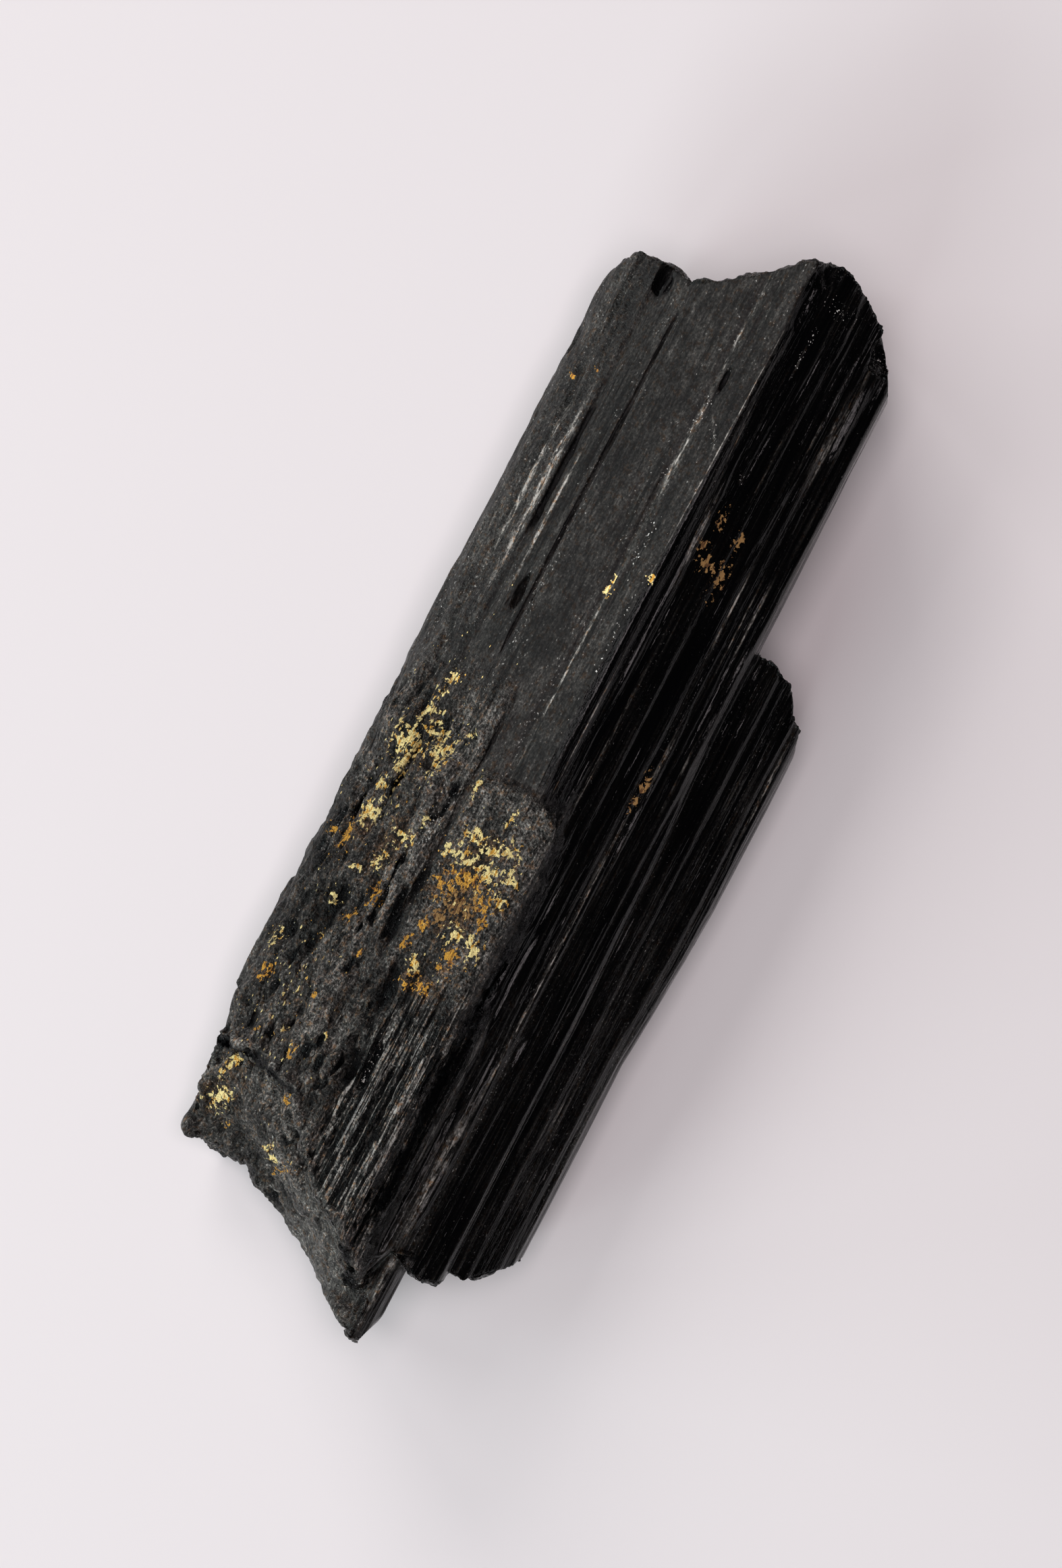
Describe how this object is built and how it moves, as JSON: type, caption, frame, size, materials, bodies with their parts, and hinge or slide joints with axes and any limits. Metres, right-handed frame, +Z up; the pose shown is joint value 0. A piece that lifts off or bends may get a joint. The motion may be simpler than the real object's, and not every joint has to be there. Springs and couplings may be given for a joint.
{
  "type": "tourmaline crystal",
  "caption": "Long striated black tourmaline crystal of parallel rods grown together, with broken, slanting ends, lying on its side.",
  "frame": {"origin": "middle of the bounding box at its lowest level, on the surface the crystal lies on", "axes": "+Y along the rods towards the end that is broken square, +X towards the glossy side, +Z up"},
  "size_m": [0.0292, 0.0872, 0.0212],
  "materials": {
    "schorl": "striated, dull dusty faces beside glossy black ones, with small ochre stains"
  },
  "bodies": {
    "root": {"tourmaline_crystal": "schorl"}
  },
  "joints": []
}
